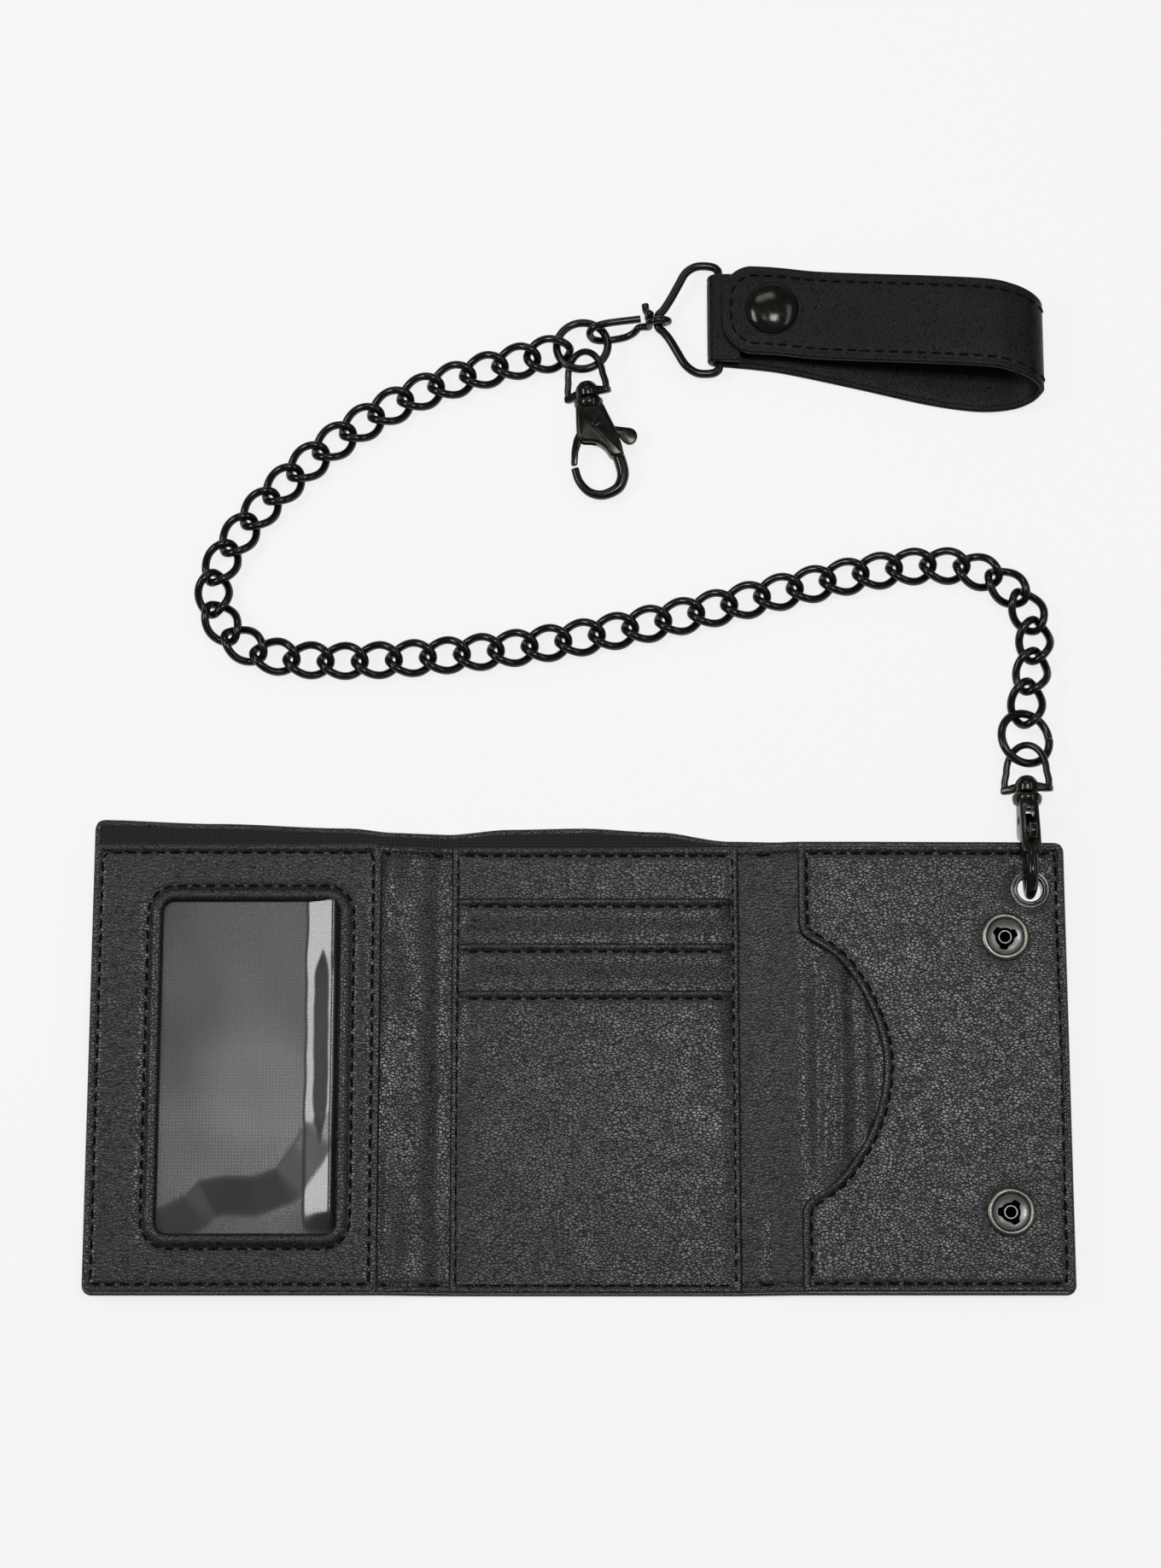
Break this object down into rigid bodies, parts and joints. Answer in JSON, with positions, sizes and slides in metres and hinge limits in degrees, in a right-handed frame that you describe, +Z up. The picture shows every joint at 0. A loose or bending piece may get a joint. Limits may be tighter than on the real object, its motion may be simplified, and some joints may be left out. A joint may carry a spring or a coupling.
{
  "type": "chain wallet",
  "caption": "Trifold chain wallet, open: card slots, clear ID window, side pocket, snaps and eyelet, curb chain with trigger hooks, rings, swivel and snap belt loop.",
  "frame": {"origin": "middle of the centre panel's outer back face, on the table", "axes": "+X to the right along the open wallet, +Y towards the wallet's top edge and the chain, +Z up out of the wallet's inner side"},
  "size_m": [0.2304, 0.2528, 0.0172],
  "materials": {
    "bill_lining_centre": "black woven lining",
    "bill_lining_left": "black woven lining",
    "bill_lining_right": "black woven lining",
    "card_panel": "pebble-grained semi-gloss black leather",
    "card_pocket_front": "pebble-grained semi-gloss black leather",
    "card_slot_middle": "pebble-grained semi-gloss black leather",
    "card_slot_top": "pebble-grained semi-gloss black leather",
    "chain_01": "gloss black lacquer on zinc alloy or steel",
    "chain_02": "gloss black lacquer on zinc alloy or steel",
    "chain_03": "gloss black lacquer on zinc alloy or steel",
    "chain_04": "gloss black lacquer on zinc alloy or steel",
    "chain_05": "gloss black lacquer on zinc alloy or steel",
    "chain_06": "gloss black lacquer on zinc alloy or steel",
    "chain_07": "gloss black lacquer on zinc alloy or steel",
    "chain_08": "gloss black lacquer on zinc alloy or steel",
    "chain_09": "gloss black lacquer on zinc alloy or steel",
    "chain_10": "gloss black lacquer on zinc alloy or steel",
    "chain_11": "gloss black lacquer on zinc alloy or steel",
    "d_ring": "gloss black lacquer on zinc alloy or steel",
    "eyelet": "gunmetal plating",
    "eyelet_washer": "gunmetal plating",
    "hook_1_body": "gloss black lacquer on zinc alloy or steel",
    "hook_1_eye": "gloss black lacquer on zinc alloy or steel",
    "hook_1_lever": "gloss black lacquer on zinc alloy or steel",
    "hook_1_pin": "antique nickel plating",
    "hook_1_spring": "bright steel",
    "hook_2_body": "gloss black lacquer on zinc alloy or steel",
    "hook_2_eye": "gloss black lacquer on zinc alloy or steel",
    "hook_2_lever": "gloss black lacquer on zinc alloy or steel",
    "hook_2_pin": "antique nickel plating",
    "hook_2_spring": "bright steel",
    "id_pocket_back": "pebble-grained semi-gloss black leather",
    "id_window": "clear flexible vinyl",
    "id_window_frame": "pebble-grained semi-gloss black leather",
    "outer_shell_centre": "pebble-grained semi-gloss black leather",
    "outer_shell_left": "pebble-grained semi-gloss black leather",
    "outer_shell_right": "pebble-grained semi-gloss black leather",
    "pocket_backing": "pebble-grained semi-gloss black leather",
    "ring_1": "gloss black lacquer on zinc alloy or steel",
    "ring_2": "gloss black lacquer on zinc alloy or steel",
    "side_pocket": "pebble-grained semi-gloss black leather",
    "snap_cap_lower": "gloss black lacquer on zinc alloy or steel",
    "snap_cap_upper": "gloss black lacquer on zinc alloy or steel",
    "snap_socket_lower": "antique nickel plating",
    "snap_socket_upper": "antique nickel plating",
    "snap_stud_lower": "gunmetal plating",
    "snap_stud_upper": "gunmetal plating",
    "spine_left_inner": "pebble-grained semi-gloss black leather",
    "spine_left_outer": "pebble-grained semi-gloss black leather",
    "spine_right": "pebble-grained semi-gloss black leather",
    "strap_base": "smooth semi-gloss black leather",
    "strap_flap": "smooth semi-gloss black leather",
    "strap_snap_cap": "gloss black lacquer on zinc alloy or steel",
    "strap_snap_socket": "gunmetal plating",
    "strap_snap_stud": "gunmetal plating",
    "stud_rivet_lower": "gunmetal plating",
    "stud_rivet_upper": "gunmetal plating",
    "wire_swivel": "gloss black lacquer on zinc alloy or steel"
  },
  "bodies": {
    "right_panel": {"outer_shell_right": "outer_shell_right", "bill_lining_right": "bill_lining_right", "pocket_backing": "pocket_backing", "side_pocket": "side_pocket", "snap_socket_upper": "snap_socket_upper", "snap_socket_lower": "snap_socket_lower", "snap_cap_upper": "snap_cap_upper", "snap_cap_lower": "snap_cap_lower", "eyelet": "eyelet", "eyelet_washer": "eyelet_washer"},
    "spine_right": {"spine_right": "spine_right"},
    "centre_panel": {"outer_shell_centre": "outer_shell_centre", "bill_lining_centre": "bill_lining_centre", "card_panel": "card_panel", "card_slot_top": "card_slot_top", "card_slot_middle": "card_slot_middle", "card_pocket_front": "card_pocket_front"},
    "spine_left_inner": {"spine_left_inner": "spine_left_inner"},
    "spine_left_outer": {"spine_left_outer": "spine_left_outer"},
    "left_panel": {"outer_shell_left": "outer_shell_left", "bill_lining_left": "bill_lining_left", "id_pocket_back": "id_pocket_back", "id_window": "id_window", "id_window_frame": "id_window_frame", "snap_stud_upper": "snap_stud_upper", "snap_stud_lower": "snap_stud_lower", "stud_rivet_upper": "stud_rivet_upper", "stud_rivet_lower": "stud_rivet_lower"},
    "hook_1": {"hook_1_body": "hook_1_body", "hook_1_pin": "hook_1_pin", "hook_1_spring": "hook_1_spring"},
    "hook_1_lever": {"hook_1_lever": "hook_1_lever"},
    "hook_1_eye": {"hook_1_eye": "hook_1_eye"},
    "ring_1": {"ring_1": "ring_1"},
    "ring_2": {"ring_2": "ring_2"},
    "hook_2_eye": {"hook_2_eye": "hook_2_eye"},
    "hook_2": {"hook_2_body": "hook_2_body", "hook_2_pin": "hook_2_pin", "hook_2_spring": "hook_2_spring"},
    "hook_2_lever": {"hook_2_lever": "hook_2_lever"},
    "wire_swivel": {"wire_swivel": "wire_swivel"},
    "d_ring": {"d_ring": "d_ring"},
    "strap_base": {"strap_base": "strap_base", "strap_snap_stud": "strap_snap_stud"},
    "strap_flap": {"strap_flap": "strap_flap", "strap_snap_cap": "strap_snap_cap", "strap_snap_socket": "strap_snap_socket"},
    "chain_01": {"chain_01": "chain_01"},
    "chain_02": {"chain_02": "chain_02"},
    "chain_03": {"chain_03": "chain_03"},
    "chain_04": {"chain_04": "chain_04"},
    "chain_05": {"chain_05": "chain_05"},
    "chain_06": {"chain_06": "chain_06"},
    "chain_07": {"chain_07": "chain_07"},
    "chain_08": {"chain_08": "chain_08"},
    "chain_09": {"chain_09": "chain_09"},
    "chain_10": {"chain_10": "chain_10"},
    "chain_11": {"chain_11": "chain_11"}
  },
  "joints": [
    {"name": "right_fold", "type": "hinge", "parent": "right_panel", "child": "spine_right", "pos_m": [0.0472, 0, 0.0042], "axis": [0, 1, 0], "range_deg": [0, 100]},
    {"name": "right_fold_centre", "type": "hinge", "parent": "spine_right", "child": "centre_panel", "pos_m": [0.0342, 0, 0.0005], "axis": [0, 1, 0], "range_deg": [0, 70]},
    {"name": "left_fold_inner", "type": "hinge", "parent": "centre_panel", "child": "spine_left_inner", "pos_m": [-0.034, 0, 0.0005], "axis": [0, 1, 0], "range_deg": [0, 18.2]},
    {"name": "left_fold", "type": "hinge", "parent": "spine_left_inner", "child": "spine_left_outer", "pos_m": [-0.04375, 0, 0.00258], "axis": [0, 1, 0], "range_deg": [0, 107.6]},
    {"name": "left_fold_outer", "type": "hinge", "parent": "spine_left_outer", "child": "left_panel", "pos_m": [-0.049, 0, 0.0037], "axis": [0, 1, 0], "range_deg": [0, 54.5]},
    {"name": "hook_1_swing", "type": "hinge", "parent": "right_panel", "child": "hook_1", "pos_m": [0.1028, 0.0396, 0.00635], "axis": [0, 0, 1], "range_deg": [-5, 5]},
    {"name": "hook_1_lever_press", "type": "hinge", "parent": "hook_1", "child": "hook_1_lever", "pos_m": [0.1028, 0.056, 0.0074], "axis": [-1, 0, 0], "range_deg": [0, 4.5], "stiffness_Nm_per_rad": 0.02, "springref_deg": -17.19},
    {"name": "hook_1_eye_turn", "type": "hinge", "parent": "hook_1", "child": "hook_1_eye", "pos_m": [0.1028, 0.062, 0.0064], "axis": [0, 1, 0], "range_deg": [0, 20]},
    {"name": "ring_1_turn", "type": "hinge", "parent": "hook_1_eye", "child": "ring_1", "pos_m": [0.1028, 0.0746, 0.0064], "axis": [1, 0, 0], "range_deg": [0, 15]},
    {"name": "chain_01_flex", "type": "hinge", "parent": "ring_1", "child": "chain_01", "pos_m": [0.103, 0.0799, 0.0046], "axis": [0, 0, 1], "range_deg": [-6, 6]},
    {"name": "chain_02_flex", "type": "hinge", "parent": "chain_01", "child": "chain_02", "pos_m": [0.10411, 0.11155, 0.0025], "axis": [0, 0, 1], "range_deg": [-6, 6]},
    {"name": "chain_03_flex", "type": "hinge", "parent": "chain_02", "child": "chain_03", "pos_m": [0.07394, 0.11955, 0.0025], "axis": [0, 0, 1], "range_deg": [-12, 12]},
    {"name": "chain_04_flex", "type": "hinge", "parent": "chain_03", "child": "chain_04", "pos_m": [0.04179, 0.1126, 0.0025], "axis": [0, 0, 1], "range_deg": [-15, 15]},
    {"name": "chain_05_flex", "type": "hinge", "parent": "chain_04", "child": "chain_05", "pos_m": [0.00984, 0.10468, 0.0025], "axis": [0, 0, -1], "range_deg": [-15, 15]},
    {"name": "chain_06_flex", "type": "hinge", "parent": "chain_05", "child": "chain_06", "pos_m": [-0.02257, 0.09901, 0.0025], "axis": [0, 0, 1], "range_deg": [-15, 15]},
    {"name": "chain_07_flex", "type": "hinge", "parent": "chain_06", "child": "chain_07", "pos_m": [-0.05537, 0.09626, 0.0025], "axis": [0, 0, -1], "range_deg": [-15, 15]},
    {"name": "chain_08_flex", "type": "hinge", "parent": "chain_07", "child": "chain_08", "pos_m": [-0.08719, 0.10136, 0.0025], "axis": [0, 0, 1], "range_deg": [-6, 15]},
    {"name": "chain_09_flex", "type": "hinge", "parent": "chain_08", "child": "chain_09", "pos_m": [-0.08485, 0.12998, 0.0025], "axis": [0, 0, 1], "range_deg": [-10, 15]},
    {"name": "chain_10_flex", "type": "hinge", "parent": "chain_09", "child": "chain_10", "pos_m": [-0.06146, 0.15295, 0.0025], "axis": [0, 0, -1], "range_deg": [-15, 12]},
    {"name": "chain_11_flex", "type": "hinge", "parent": "chain_10", "child": "chain_11", "pos_m": [-0.03237, 0.16801, 0.0026], "axis": [0, 0, -1], "range_deg": [-15, 15]},
    {"name": "ring_2_turn", "type": "hinge", "parent": "chain_11", "child": "ring_2", "pos_m": [-0.006, 0.1749, 0.0034], "axis": [0, 0, 1], "range_deg": [-6, 12]},
    {"name": "hook_2_eye_swing", "type": "hinge", "parent": "ring_2", "child": "hook_2_eye", "pos_m": [-0.003, 0.17385, 0.00427], "axis": [0, 0, 1], "range_deg": [-3, 15]},
    {"name": "hook_2_swivel", "type": "hinge", "parent": "hook_2_eye", "child": "hook_2", "pos_m": [-0.00147, 0.16136, 0.00361], "axis": [-0.1217, 0.9912, 0.0523], "range_deg": [-90, 90]},
    {"name": "hook_2_lever_press", "type": "hinge", "parent": "hook_2", "child": "hook_2_lever", "pos_m": [0.00026, 0.15554, 0.0033], "axis": [0.0064, -0.0519, 0.9986], "range_deg": [0, 22], "stiffness_Nm_per_rad": 0.02, "springref_deg": -17.19},
    {"name": "wire_swivel_turn", "type": "hinge", "parent": "ring_2", "child": "wire_swivel", "pos_m": [-0.001, 0.1788, 0.0035], "axis": [0, 0, 1], "range_deg": [-12, 12]},
    {"name": "d_ring_fold", "type": "hinge", "parent": "wire_swivel", "child": "d_ring", "pos_m": [0.0157, 0.182, 0.0037], "axis": [0, -1, 0], "range_deg": [0, 60]},
    {"name": "strap_lift", "type": "hinge", "parent": "d_ring", "child": "strap_base", "pos_m": [0.03065, 0.1825, 0.0029], "axis": [0, -1, 0], "range_deg": [0, 80]},
    {"name": "strap_open", "type": "hinge", "parent": "strap_base", "child": "strap_flap", "pos_m": [0.1094, 0.1736, 0.0074], "axis": [0, 1, 0], "range_deg": [0, 110]}
  ],
  "couplings": [
    {"joint": "right_fold_centre", "follows": "right_fold", "ratio": 0.7},
    {"joint": "left_fold_inner", "follows": "left_fold", "ratio": 0.16729},
    {"joint": "left_fold_outer", "follows": "left_fold", "ratio": 0.50558}
  ]
}
